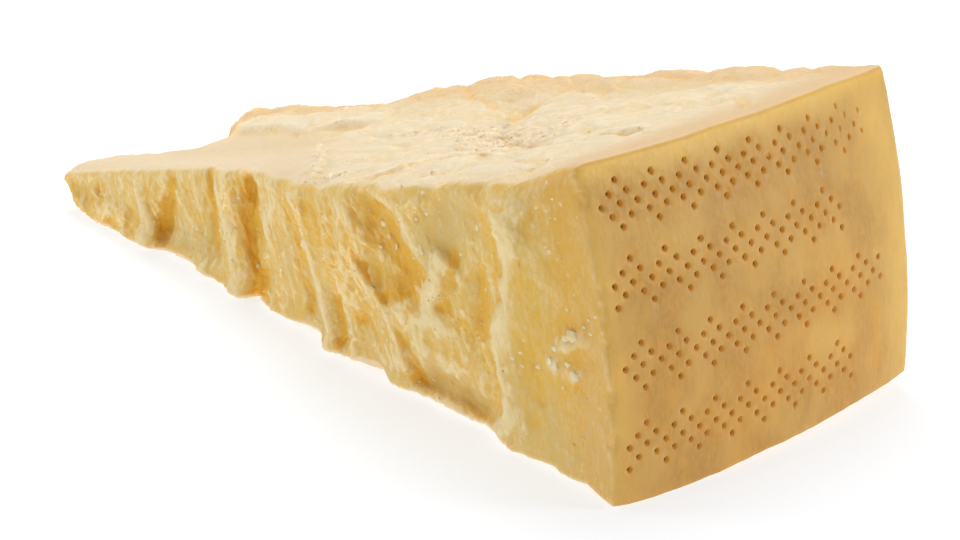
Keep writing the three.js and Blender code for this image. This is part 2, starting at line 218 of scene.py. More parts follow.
PAINTED_DULL_SHADE = [
    ([(-168, 5), (-160, 7), (-154, 4)], 5.0, 0.7), ([(-66, 5), (-55, 6), (-44, 5)], 4.5, 0.8),
    ([(-53, 44), (-47, 49), (-42, 55)], 6.0, 0.7), ([(-178, 2), (-174, 4)], 3.0, 0.4),
    ([(-118, 20), (-110, 6)], 6.0, 0.3), ([(-90, 8), (-84, 4)], 4.0, 0.3),
    ([(-32, 12), (-12, 10)], 10.0, 0.7), ([(-106, 5), (-80, 6)], 8.0, 0.4),
]

# Where the split left the broken face smooth, in the same way
SMOOTH = [
    ([(-53, 44), (-47, 49), (-42, 56)], 6.0, 1.0), ([(-66, 5), (-48, 5)], 4.0, 0.5),
    ([(-30, 5), (-30, 45)], 7.0, 0.9), ([(-20, 8), (-20, 50)], 10.0, 0.9),
    ([(-6, 10), (-12, 60)], 8.0, 0.8), ([(-163, 8), (-157, 6)], 5.0, 0.5),
]

# Where the rind at the thick end is orange, where painted light brightens its top band, its edges and its
# right side (with a few paler patches), and where it has darker brownish blotches: a path of (y, z) points,
# a reach and a strength
RIND_AMBER = [
    ([(79, 22), (79.5, 13), (78, 5)], 3.0, 0.5), ([(84, 54), (85.5, 62)], 2.2, 0.6),
    ([(37, 47), (41, 49)], 2.0, 0.4), ([(60, 62), (70, 64)], 3.0, 0.3),
    ([(30, 58), (40, 60)], 4.0, 0.25), ([(88, 30), (87, 40)], 3.0, 0.3),
]
RIND_PAINTED_LIGHT = [
    ([(0, 68.5), (50, 69), (96, 69)], 3.6, 0.8), ([(-0.3, 1), (-0.3, 68)], 1.3, 1.0),
    ([(1.5, 1), (1.5, 66)], 3.0, 0.35),
    ([(86, 66), (90, 50), (92, 30), (92, 6)], 9.0, 0.6), ([(87, 62), (90, 67)], 4.5, 0.5),
    ([(88, 38), (87, 20), (87, 9)], 2.6, 0.4), ([(52, 38), (66, 36)], 5.0, 0.3),
    ([(14, 50), (24, 52)], 5.0, 0.25), ([(58, 20), (70, 18)], 4.0, 0.3),
]
RIND_DULL = [
    ([(81.5, 45.5), (82.5, 48)], 2.2, 0.6), ([(87, 49.5), (88, 51)], 1.4, 0.6),
    ([(88, 57), (88, 60)], 2.0, 0.3), ([(9, 61), (13, 64)], 3.0, 0.2), ([(18, 8), (28, 7)], 3.5, 0.2),
]

# Torn and crumbled parts of the upper cut: where (x, y), a reach and a strength
POWDERY = [
    ([(-122, 54), (-107, 54), (-98, 56)], 3.5, 0.7), ([(-100, 57), (-92, 54), (-84, 52)], 5.5, 1.0),
    ([(-82, 44), (-74, 40), (-66, 40)], 7.5, 1.0), ([(-68, 57), (-66, 48)], 5.0, 0.8),
    ([(-74, 30), (-62, 28), (-52, 28)], 3.5, 0.8), ([(-96, 68), (-88, 63)], 4.0, 0.7),
    ([(-136, 49), (-124, 38), (-110, 24), (-99, 11)], 2.0, 0.6), ([(-96, 14), (-88, 15)], 2.0, 0.7),
]
# Painted amber shadows of the upper cut, under its lumps and in its trough, cracks, slits and chips: where
# (x, y), a reach and a strength
UPPER_AMBER_SHADOWS = [
    ([(-107, 71), (-102, 74), (-98, 79)], 2.0, 1.0), ([(-115, 57), (-110, 60)], 1.3, 0.8),
    ([(-118, 80), (-110, 76), (-105, 72)], 3.0, 0.4),
    ([(-71, 39), (-70.7, 43)], 1.4, 0.7), ([(-50.6, 27), (-52, 31)], 1.2, 0.7),
    ([(-84, 8), (-78, 9), (-74, 14), (-70.5, 19.7), (-66.7, 24), (-64, 26)], 0.9, 0.8),
    ([(-38, 37), (-33, 37.5), (-32, 43)], 1.0, 0.7), ([(-53, 42.5), (-49, 43)], 1.3, 0.6),
    ([(-30, 68), (-25, 63), (-21, 57)], 1.3, 0.6), ([(-128, 92), (-118, 84)], 4.0, 0.3),
    ([(-200, 84), (-185, 80), (-165, 78)], 5.0, 0.25), ([(-89, 87), (-72, 79)], 2.0, 0.3),
    ([(-40, 52), (-34, 48)], 2.0, 0.3), ([(-60, 84), (-50, 76)], 3.0, 0.2),
]


def ease(x, low, high):
    """0 below low, 1 above high, and between them the smooth curve 3p^2 - 2p^3 of the part p."""
    p = np.clip((x - low) / (high - low), 0, 1)
    return p * p * (3 - 2 * p)


def blend(a, b, part):
    """a where part is 0, b where it is 1, and a straight mix between."""
    return a + (b - a) * part


def along(points, x):
    """Straight lines through points of (x, value), read at x."""
    xs, values = zip(*points)
    return np.interp(x, xs, values)


def chance(i, j, seed):
    """A repeatable random number from 0 to 1 for whole numbers i, j: the digits after the point
    of a large multiple of a sine."""
    wave = np.sin(i * 127.1 + j * 311.7 + seed * 74.7) * 43758.5453
    return wave - np.floor(wave)


def waves(u, v, seed):
    """Smooth noise from -1 to 1: random corner values one unit apart, joined by eased lines."""
    i, j = np.floor(u), np.floor(v)
    f, g = ease(u - i, 0, 1), ease(v - j, 0, 1)
    low = blend(chance(i, j, seed), chance(i + 1, j, seed), f)
    high = blend(chance(i, j + 1, seed), chance(i + 1, j + 1, seed), f)
    return 2 * blend(low, high, g) - 1


def layered_waves(u, v, seed, layers=4):
    """Noise of several layers, each twice as fine and half as high as the one before."""
    total = np.zeros(np.broadcast(u, v).shape)
    for n in range(layers):
        turned_u, turned_v = u * 0.8 - v * 0.6, u * 0.6 + v * 0.8
        total += waves(turned_u * 2 ** n + 17.3 * n, turned_v * 2 ** n - 9.1 * n, seed + n) * 0.5 ** n
    return total / (2 - 0.5 ** (layers - 1))


def grains(u, v, seed):
    """For points one unit apart, each moved at random: the distance to the nearest point, the
    extra distance to the second nearest, and the nearest one's own random height and tilt."""
    i, j = np.floor(u), np.floor(v)
    near = np.full(np.broadcast(u, v).shape, 9.0)
    second = near.copy()
    facet = np.zeros_like(near)
    for di in (-1, 0, 1):
        for dj in (-1, 0, 1):
            a, b = i + di, j + dj
            du = a + chance(a, b, seed) - u
            dv = b + chance(a, b, seed + 1) - v
            reach = np.hypot(du, dv)
            closer = reach < near
            second = np.where(closer, near, np.minimum(second, reach))
            height = 2 * chance(a, b, seed + 2) - 1
            tilt_u = 2 * chance(a, b, seed + 3) - 1
            tilt_v = 2 * chance(a, b, seed + 4) - 1
            facet = np.where(closer, height + tilt_u * du + tilt_v * dv, facet)
            near = np.minimum(near, reach)
    return near, second - near, facet


def flakes(u, v, seed):
    """Overlapping flakes: the part of a slow noise past its last whole number, which climbs
    slowly and drops at once, from 0 to about 1."""
    slow = 3.2 * layered_waves(u, v, seed, 3)
    climb = slow - np.floor(slow)
    return climb * (1 - ease(climb, 0.88, 1))


def knobs(u, v, seed):
    """Rounded knobs from 0 to 1 with narrow creases between them: 1 - exp(-4 |n|) of a smooth
    noise n, whose zero lines become the creases."""
    return 1 - np.exp(-4 * np.abs(layered_waves(u, v, seed, 2)))


def upright_ribs(x, z, seed):
    """Ribs that stand upright beside one another, as a split leaves them. Each climbs across its
    width to a sharp edge, on one side or the other by chance, wanders, and fades in and out."""
    across = (x / 5.5 + 0.5 * layered_waves(x / 16, z / 34, seed, 3)
              + 0.12 * layered_waves(x / 3, z / 4, seed + 5, 2))
    rib = np.floor(across)
    climb = across - rib
    climb = np.where(chance(rib, 3, seed) > 0.5, 1 - climb, climb)
    strength = (0.35 + 0.65 * chance(rib, 7, seed)) * (0.55 + 0.45 * waves(rib * 5.3, z / 13, seed + 2))
    return strength * (climb * (1 - ease(climb, 0.82, 1)) - 0.3)


def stroke(u, v, path, left, right, out):
    """A bell out * exp(-(d / reach)^2) over the distance d to a path of points. The reach turns
    smoothly from left on one side of the path to right on the other."""
    nearest = np.full(u.shape, np.inf)
    reach = np.full(u.shape, float(left))
    for (u0, v0), (u1, v1) in zip(path, path[1:]):
        du, dv = u1 - u0, v1 - v0
        part = np.clip(((u - u0) * du + (v - v0) * dv) / (du * du + dv * dv), 0, 1)
        distance = np.hypot(u - u0 - part * du, v - v0 - part * dv)
        side = (du * (v - v0) - dv * (u - u0)) / (np.hypot(du, dv) * np.maximum(distance, 1e-6))
        closer = distance < nearest
        nearest = np.where(closer, distance, nearest)
        reach = np.where(closer, blend(right, left, ease(side, -1, 1)), reach)
    return out * np.exp(-(nearest / reach) ** 2)


def strokes(u, v, table):
    """All strokes of a table, added up."""
    return sum(stroke(u, v, *row) for row in table)


def patches(u, v, table):
    """The strongest of a table's even-sided strokes, from 0 to 1."""
    strongest = np.zeros(u.shape)
    for path, reach, strength in table:
        strongest = np.maximum(strongest, stroke(u, v, path, reach, reach, strength))
    return np.clip(strongest, 0, 1)


def soften(field, cells_u, cells_v):
    """A field blurred by a bell of the given width in cells, by way of its Fourier series. The
    field is mirrored first, so that its edges don't wrap round."""
    mirrored = np.block([[field, field[:, ::-1]], [field[::-1], field[::-1, ::-1]]])
    fu = np.fft.fftfreq(mirrored.shape[0])[:, None]
    fv = np.fft.rfftfreq(mirrored.shape[1])[None, :]
    bell = np.exp(-2 * np.pi ** 2 * ((cells_u * fu) ** 2 + (cells_v * fv) ** 2))
    blurred = np.fft.irfft2(np.fft.rfft2(mirrored) * bell, s=mirrored.shape)
    return blurred[:field.shape[0], :field.shape[1]]


def rind_x(z):
    """The rind is part of the wheel's round side, so it leans back as it rises."""
    return np.sqrt(WHEEL_RADIUS ** 2 - z ** 2) - WHEEL_RADIUS


def upper_cut_z(x):
    """The upper cut slopes in one plane from the top of the rind to the thin edge."""
    part = (x + WHEEL_RADIUS) / (rind_x(RIND_HEIGHT) + WHEEL_RADIUS)
    return blend(TIP_HEIGHT, RIND_HEIGHT, part)


s_lines = np.linspace(0, 1, CELLS_ALONG + 1)
w_lines = np.linspace(0, 1, CELLS_ACROSS + 1)
t_lines = np.linspace(0, 1, CELLS_UP + 1)

# --- the broken face: one value for each grid line along and up
face_s, face_t = np.meshgrid(s_lines, t_lines, indexing="ij")
face_edge = rind_x(face_t * RIND_HEIGHT)
face_z = face_t * upper_cut_z(blend(-WHEEL_RADIUS, face_edge, face_s))
face_end = -WHEEL_RADIUS - TIP_OVERRUN + TIP_WEAR * (1 - ease(face_z, 0, 8))
face_x = blend(face_end, rind_x(face_z), face_s)


def broken_crags(x, z):
    """How far the crags stand out of the plain leaning surface, with ragged edges."""
    ragged_x = 1.3 * layered_waves(x / 4.5, z / 6, 11, 4)
    ragged_z = 1.6 * layered_waves(x / 4.5, z / 6, 13, 4)
    return strokes(x + ragged_x, z + ragged_z, CRAGS)


def broken_grain(x, z, calm):
    """The finer relief on the crags: upright ribs, a few flakes, then knobs and facets of the
    grain, each finer than the last, and crumbly in some parts more than in others."""
    bend_x = 1.5 * layered_waves(x / 12, z / 16, 41)
    ribs = ease(-x, 40, 70) * (0.9 * upright_ribs(x, z, 43) + 0.3 * upright_ribs(2.3 * x, 1.6 * z, 44))
    crumbly = 0.3 + 0.7 * ease(layered_waves(x / 13, z / 17, 45, 3), -0.1, 0.3)
    flaked = (0.5 * flakes((x + bend_x) / 9, z / 16, 47)
              + crumbly * 0.3 * flakes((x - bend_x) / 5, z / 7, 51))
    knobbly = (0.55 * knobs((x + bend_x) / 7, z / 12, 49)
               + crumbly * (0.5 * knobs((x - bend_x) / 3.4, z / 4.4, 50)
                            + 0.3 * knobs(x / 1.7, z / 2.1, 52)))
    _, gap, facet = grains((x + bend_x) / 3.2, (z + 1.4 * bend_x) / 4.2, 53)
    near, small_gap, small_facet = grains((x + 0.4 * bend_x) / 1.7, z / 2.0, 57)
    facets = crumbly * (0.35 * facet * ease(gap, 0, 0.25) + 0.16 * small_facet * ease(small_gap, 0, 0.2))
    grain = 0.08 * layered_waves(x / 1.3, z / 1.6, 59, 2)
    return ribs + (1 - calm) * (flaked + knobbly + facets - 0.9) + (1 - 0.6 * calm) * grain


face_rise = np.clip(face_z / upper_cut_z(face_x), 0, 1)
face_plain = blend(along(BREAK_FOOT, face_x), along(BREAK_BROW, face_x), face_rise)
face_calm = np.maximum(0.85 * patches(face_x, face_z, SMOOTH), 0.6 * ease(face_rise, 0.84, 1))
face_crags = soften(broken_crags(face_x, face_z), 0.6, 0.9)
face_relief = face_crags + broken_grain(face_x, face_z, face_calm)
near_end = ease(-face_x, 0, 14)
face_y = face_plain - near_end * face_relief
lean_x = CRAG_LEAN[0] * near_end * face_crags
lean_z = CRAG_LEAN[1] * near_end * face_crags * ease(face_z, 0, 5) * (1 - ease(face_rise, 0.8, 1))

# --- the upper cut: one value for each grid line along and across
top_s, top_w = np.meshgrid(s_lines, w_lines, indexing="ij")
top_x = blend(-WHEEL_RADIUS - TIP_OVERRUN + TIP_BITE * ease(top_w, 0, 0.5), rind_x(RIND_HEIGHT), top_s)
top_y = blend(face_y[:, -1:], CHUNK_WIDTH, top_w)
lean_share = 1 - ease(top_w, 0, LEAN_BAND)
top_x = top_x + lean_share * lean_x[:, -1:]


def upper_relief(x, y):
    """How far the upper cut stands above its plane: big swells, the torn middle, and fine marks.
    The knife left the tip and a band by the rind smooth, with scores along the wheel's axis."""
    ragged_x = 0.8 * layered_waves(x / 4, y / 4, 61, 4)
    ragged_y = 0.8 * layered_waves(x / 4, y / 4, 63, 4)
    swells = strokes(x + ragged_x, y + ragged_y, UPPER_SWELLS)
    marks = strokes(x + 0.5 * ragged_x, y + 0.5 * ragged_y, UPPER_MARKS)
    bend = 3 * layered_waves(x / 20, y / 20, 65)
    knifed = ease(-x - 0.95 * (y - 47) + 2 * bend, 126, 134) * (1 - ease(y + 0.3 * x + bend, 17, 22))
    knifed = np.maximum(knifed, 1 - ease(-x + 0.3 * bend, 18, 32))
    powder = patches(x + 1.5 * ragged_x, y + 1.5 * ragged_y, POWDERY)
    torn = (1.4 * knobs((x + bend) / 18, y / 12, 67) + 0.5 * knobs((x - bend) / 8, y / 6, 69)
            + 0.15 * knobs(x / 2.8, y / 2.4, 71) + 0.35 * flakes((x + bend) / 15, y / 10, 68) - 1.4)
    near, _, facet = grains(x / 1.5, y / 1.4, 73)
    crumbs = 0.7 * (0.4 - near ** 2) + 0.5 * facet + 0.8 * knobs(x / 3, y / 2.6, 75) - 0.5
    scores = 0.10 * waves(x / 1.0 + 0.5 * layered_waves(x / 9, y / 14, 79), y / 30, 83)
    relief = marks + (1 - knifed) * torn + powder * crumbs + (0.35 + 0.65 * knifed) * scores
    return swells, relief, knifed, powder


top_swells, top_marks, top_knifed, top_powder = upper_relief(top_x, top_y)
top_calm = ease(-top_x, 10, 24)
top_crest = (along(TIP_CREST, top_y) * (1 - ease(top_x, -209, -188))
             + along(BACK_CREST, top_x) * np.exp(-((CHUNK_WIDTH - top_y) / 14) ** 2))
top_z = (upper_cut_z(top_x) + top_crest + top_calm * top_swells
         + (0.3 + 0.7 * top_calm) * top_marks)

# --- the underside: the lower cut, flat on the ground, with scores and worn edges
foot_y = blend(face_y[:, :1], CHUNK_WIDTH - HEEL_TAPER, top_w)
foot_x = blend(face_end[:, :1], rind_x(0), top_s) + lean_share * lean_x[:, :1]
foot_rough = 0.25 * (1 + layered_waves(foot_x / 5, foot_y / 5, 89, 3))
foot_torn = ease(layered_waves(foot_x / 34, foot_y / 26, 91, 3), 0.02, 0.2)
foot_bend = 0.5 * layered_waves(foot_x / 9, foot_y / 14, 93)
foot_marks = (0.10 * (1 + waves(foot_x / 1.1 + foot_bend, foot_y / 30, 95))
              + foot_torn * (0.5 + 0.45 * flakes(foot_x / 11, foot_y / 9, 97)
                             + 0.3 * layered_waves(foot_x / 3, foot_y / 3, 99)))
foot_marks = foot_marks * ease(top_w, 0.02, 0.12) * (1 - ease(top_s, 0.93, 0.99))
foot_lifts = ((along(BREAK_LIFT, foot_x) + foot_rough) * (1 - ease(top_w, 0, EDGE_BAND)),
              (FOOT_WEAR + foot_rough) * ease(top_w, 1 - EDGE_BAND, 1),
              (FOOT_WEAR + foot_rough) * (1 - ease(top_s, 0, EDGE_BAND)),
              along(RIND_LIFT, top_w) * ease(top_s, 0.86, 1))
foot_z = np.maximum(foot_marks, 0) + np.maximum.reduce(foot_lifts)

# --- the rind at the thick end: one value for each grid line across and up
rind_w, rind_t = np.meshgrid(w_lines, t_lines, indexing="ij")
rind_y = blend(0, CHUNK_WIDTH - HEEL_TAPER * (1 - rind_t), rind_w)
rind_z = rind_t * RIND_HEIGHT

# The stamped band marks are rows of small round pits: each band is five pits high and holds a
# plain chain of lozenges or a plain double zigzag
PIT_PITCH = (2.35, 2.25)         # across and up
PIT_RADIUS = 0.6
PIT_DEPTH = 0.8
BAND_FOOTS = [7.6, 24.0, 40.7, 56.0]       # height of the lowest row of each band
BAND_COLUMNS = [29, 34, 29, 34]
BAND_START = 4.0
LOZENGE_ROWS = [(2,), (1, 3), (0, 2, 4), (1, 3)]     # rows with a pit, in each column in turn
ZIGZAG_ROWS = [(0, 2), (1, 3), (2, 4), (1, 3)]


def pit_places():
    """Middles of all pits: columns and rows of each band, each moved a little by chance."""
    places = []
    for band, (foot, columns) in enumerate(zip(BAND_FOOTS, BAND_COLUMNS)):
        motif = LOZENGE_ROWS if band % 2 else ZIGZAG_ROWS
        for column in range(columns):
            for row in motif[column % len(motif)]:
                places.append((BAND_START + column * PIT_PITCH[0], foot + row * PIT_PITCH[1]))
    places = np.array(places)
    numbers = np.arange(len(places))
    shake = np.stack([chance(numbers, 5, 97), chance(numbers, 9, 98)], 1) - 0.5
    return places + 0.35 * shake


def pit_field(y, z, places):
    """1 inside each pit and 0 outside, with a rounded wall between."""
    field = np.zeros(y.shape)
    for py, pz in places:
        rows = np.abs(y[:, 0] - py) < 1.5
        lines = np.abs(z[0] - pz) < 1.5
        block = np.ix_(rows, lines)
        distance = np.hypot(y[block] - py, z[block] - pz)
        field[block] = np.maximum(field[block], 1 - ease(distance, 0.5 * PIT_RADIUS, 1.5 * PIT_RADIUS))
    return field


def rind_skin(across, up):
    """Dents and brush marks of dried rind: long shallow waves and a fine grain that runs up."""
    return (0.35 * layered_waves(across / 17, up / 21, 101, 3)
            + 0.03 * waves(across / 0.9, up / 9, 103)
            + 0.06 * layered_waves(across / 2.1, up / 3.0, 107, 2))


rind_pits = pit_field(rind_y, rind_z, pit_places())
rind_out = rind_skin(rind_y, rind_z) - PIT_DEPTH * rind_pits
rind_edge = rind_x(rind_z) + RIND_BULGE * np.sin(np.pi * rind_w) ** 0.7

# --- the tip's crumbled end
tip_high = rind_t * TIP_HEIGHT
tip_rough = 1.1 * layered_waves(rind_y / 6, tip_high / 5, 109, 4)
near_tip, _, facet_tip = grains(rind_y / 3.2, tip_high / 3.0, 113)
tip_rough = tip_rough + 0.5 * (0.4 - near_tip ** 2) + 0.3 * facet_tip
tip_end = (-WHEEL_RADIUS - TIP_OVERRUN + TIP_WEAR * (1 - ease(tip_high, 0, 8))
           + TIP_BITE * ease(rind_w, 0, 0.5) + tip_rough * ease(rind_w, 0, 0.04))

# --- the back: the wheel's flat side, also rind, brushed in circles round the wheel's axis
back_reach = np.hypot(face_x + WHEEL_RADIUS, face_z)
back_turn = np.arctan2(face_z, face_x + WHEEL_RADIUS + 20) * 60
back_y = CHUNK_WIDTH - HEEL_TAPER * (1 - face_t) + 0.6 * rind_skin(back_reach, back_turn)


def surface_points():
    """The lattice points on the outside of a block of cells, each once, and its outer squares.
    Squares run so that their normals point out of the block."""
    size = (CELLS_ALONG + 1, CELLS_ACROSS + 1, CELLS_UP + 1)
    squares = []
    for axis in range(3):
        first, second = [n for n in range(3) if n != axis]
        a, b = np.meshgrid(np.arange(size[first] - 1), np.arange(size[second] - 1), indexing="ij")
        for end in (0, size[axis] - 1):
            corners = []
            for da, db in ((0, 0), (1, 0), (1, 1), (0, 1)):
                index = [None, None, None]
                index[axis] = np.full(a.size, end)
                index[first] = a.ravel() + da
                index[second] = b.ravel() + db
                corners.append(np.ravel_multi_index(index, size))
            corners = np.stack(corners, 1)
            turned = (end == 0) != (axis == 1)
            squares.append(corners[:, ::-1] if turned else corners)
    squares = np.concatenate(squares)
    used, places = np.unique(squares, return_inverse=True)
    return np.stack(np.unravel_index(used, size)), places.reshape(squares.shape)


def round_off(a, b, radius):
    """Distances a and b from two faces that meet at an edge, changed so that the edge becomes a
    quarter circle: with u, v the parts of the radius still to go, u sqrt(1 - v^2 / 2) and back."""
    u = np.clip(1 - a / radius, 0, 1)
    v = np.clip(1 - b / radius, 0, 1)
    both = (u > 0) & (v > 0)
    new_a = np.where(both, radius * (1 - u * np.sqrt(1 - v * v / 2)), a)
    new_b = np.where(both, radius * (1 - v * np.sqrt(1 - u * u / 2)), b)
    return new_a, new_b


(i, j, k), squares = surface_points()
s, w, t = s_lines[i], w_lines[j], t_lines[k]
end_x = tip_end[j, k]
edge_x = rind_edge[j, k] + rind_out[j, k]
x = blend(end_x, edge_x, s)
y = blend(face_y[i, k], back_y[i, k], w)
z = blend(foot_z[i, j], top_z[i, j], t)

from_rind, from_tip = edge_x - x, x - end_x
from_face, from_back = y - face_y[i, k], back_y[i, k] - y
from_top, from_foot = top_z[i, j] - z, z - foot_z[i, j]
worn = 1 + 0.35 * layered_waves(x / 6, y / 6, 127, 3)
brow = ease(x, -122, -100) * (1 - ease(x, -22, -6))
from_rind, from_back = round_off(from_rind, from_back, blend(*HEEL_RADIUS, t))
from_face, from_top = round_off(from_face, from_top, (2.8 + 2.4 * brow) * worn)
chipped = ease(layered_waves(z / 3, x / 3, 129, 3), 0.15, 0.4)
from_rind, from_face = round_off(from_rind, from_face, 1.0 * worn + 1.1 * chipped)
from_rind, from_top = round_off(from_rind, from_top, 1.0 * worn)
from_back, from_top = round_off(from_back, from_top, 1.8 * worn)
from_tip, from_face = round_off(from_tip, from_face, 3.0 * worn)
from_tip, from_top = round_off(from_tip, from_top, 2.2 * worn)
from_tip, from_back = round_off(from_tip, from_back, 3.0 * worn)
from_tip, from_foot = round_off(from_tip, from_foot, 2.0 * worn)
from_face, from_foot = round_off(from_face, from_foot, 0.8 * worn)
from_rind, from_foot = round_off(from_rind, from_foot, 0.9 * worn)
from_back, from_foot = round_off(from_back, from_foot, 1.4 * worn)
x = np.where(s > 0.5, edge_x - from_rind, end_x + from_tip)
y = np.where(w < 0.5, face_y[i, k] + from_face, back_y[i, k] - from_back)
z = np.where(t > 0.5, top_z[i, j] - from_top, foot_z[i, j] + from_foot)
x = x + lean_x[i, k] * (1 - ease(w, 0, LEAN_BAND))
z = z + lean_z[i, k] * (1 - ease(w, 0, LEAN_BAND))
points = (np.stack([x, y, z], 1) + CHUNK_ORIGIN) * MM


def hollowness(relief, cell_u, cell_v):
    """1 deep in a crag, 0 on the open surface and below 0 on a crest: how far a relief lies below
    its own blurred self, over three widths."""
    wide, middling, narrow = [soften(relief, width / cell_u, width / cell_v) - relief
                              for width in (4.5, 2.0, 0.9)]
    return np.clip(0.2 * wide + 0.4 * middling + 1.2 * narrow, -1, 1)


USUAL_HEIGHT, USUAL_WIDTH = 40, 75         # of the break and of the upper cut, halfway along
BROW_LIGHT_BAND = 4.5                  # how far down the break the painted light of the top-lit brow reaches
cell_along = (WHEEL_RADIUS + TIP_OVERRUN) / CELLS_ALONG
face_hollow = hollowness(face_relief, cell_along, USUAL_HEIGHT / CELLS_UP)
top_hollow = hollowness(top_z - upper_cut_z(top_x), cell_along, USUAL_WIDTH / CELLS_ACROSS)
brow_light = np.exp(-(upper_cut_z(face_x) - face_z) / BROW_LIGHT_BAND)
drift_x = 1.2 * layered_waves(face_x / 4, face_z / 4, 131, 3)
drift_z = 1.2 * layered_waves(face_x / 4, face_z / 4, 133, 3)
# Painted light on the broken face: dull grey shade, amber shade in the crags and wherever the relief lies
# below its blurred self, and pale highlights on the crests, at the listed marks and along the top-lit brow
face_dull_shade = patches(face_x, face_z, PAINTED_DULL_SHADE)
face_amber_shade = (0.6 * patches(face_x + drift_x, face_z + drift_z, AMBER_SHADE)
              + (1 - 0.8 * face_dull_shade) * (1 - 0.5 * brow_light) * np.maximum(face_hollow, 0))
face_highlight = (0.65 * patches(face_x + drift_x, face_z + drift_z, PAINTED_HIGHLIGHTS) + 1.2 * np.maximum(-face_hollow, 0)
             + 0.75 * brow_light)
drift_on_x = 2.2 * layered_waves(top_x / 2.5, top_y / 2.5, 135, 3)
drift_on_y = 2.2 * layered_waves(top_x / 2.5, top_y / 2.5, 137, 3)
# Painted light on the upper cut: amber shadows from the table and in its hollows, and pale highlights on
# its crests
top_amber_shade = (0.45 * patches(top_x + drift_on_x, top_y + drift_on_y, UPPER_AMBER_SHADOWS)
             + 0.6 * np.maximum(top_hollow, 0))
top_highlight = 2.5 * np.maximum(-top_hollow, 0)
rind_amber, rind_painted_light, rind_dull = [patches(rind_y, rind_z, table)
                                    for table in (RIND_AMBER, RIND_PAINTED_LIGHT, RIND_DULL)]
on_face = np.exp(-np.maximum(from_face, 0) / 1.2)
on_top = np.exp(-np.maximum(from_top, 0) / 1.0)
on_foot = np.exp(-np.maximum(from_foot, 0) / 1.0)
on_rind = np.exp(-np.maximum(np.minimum(from_rind, from_back), 0) / 0.5)
on_end = np.exp(-np.maximum(from_rind, 0) / 0.5)
upper_share = on_top * (1 - on_face)
paste_amber_shade = face_amber_shade[i, k] * on_face * (1 - on_top) + top_amber_shade[i, j] * upper_share
paste_highlight = np.maximum(face_highlight[i, k] * on_face, top_highlight[i, j] * upper_share)
# The amber tint holds the paste's painted shade and the rind's orange patches; the pale tint holds the
# paste's painted highlights, the rind's painted light and the crumbs' own random paleness; the dull tint
# holds the paste's painted dull shade and the rind's darker blotches
tints = {
    "amber_tone_and_shade": np.clip(blend(paste_amber_shade, rind_amber[j, k], on_end), 0, 1),
    "pale_tone_and_highlight": np.clip(blend(paste_highlight, rind_painted_light[j, k], on_end), 0, 1),
    "dull_shade_and_blotches": blend(face_dull_shade[i, k] * on_face, rind_dull[j, k], on_end),
    "upper": np.maximum(on_top, on_foot),
    "knifed": np.maximum(top_knifed[i, j] * on_top, (1 - foot_torn[i, j]) * on_foot),
    "powder": top_powder[i, j] * on_top,
    "skin": on_rind,
    "flat_side": on_rind * (1 - on_end),
    "from_axis": np.hypot(x + WHEEL_RADIUS, z),
    "round_axis": np.arctan2(z, x + WHEEL_RADIUS),
    "under_rind": np.minimum(from_rind, from_back),
    "pit": rind_pits[j, k] * np.exp(-np.maximum(from_rind, 0) / 0.3) * (s > 0.99),
}

def add_tints(mesh, values_by_name):
    """Keeps each tint, one number for each point of the mesh, as an attribute for the material."""
    for name, values in values_by_name.items():
        attribute = mesh.attributes.new(name, "FLOAT", "POINT")
        attribute.data.foreach_set("value", np.asarray(values, dtype=np.float32))


cheese_mesh = bpy.data.meshes.new("cheese")
cheese_mesh.vertices.add(len(points))
cheese_mesh.vertices.foreach_set("co", points.ravel())
cheese_mesh.loops.add(squares.size)
cheese_mesh.loops.foreach_set("vertex_index", squares.ravel())
cheese_mesh.polygons.add(len(squares))
cheese_mesh.polygons.foreach_set("loop_start", np.arange(0, squares.size, 4))
cheese_mesh.update(calc_edges=True)
cheese_mesh.shade_smooth()
add_tints(cheese_mesh, tints)
cheese = bpy.data.objects.new("cheese", cheese_mesh)
bpy.context.collection.objects.link(cheese)

thin = cheese.modifiers.new("fewer triangles on the calm parts", "DECIMATE")
thin.ratio = min(1, FINISHED_TRIANGLES / (2 * len(squares)))
bpy.context.view_layer.update()
finished = bpy.data.meshes.new_from_object(cheese.evaluated_get(bpy.context.evaluated_depsgraph_get()))
cheese.modifiers.clear()
cheese.data = finished


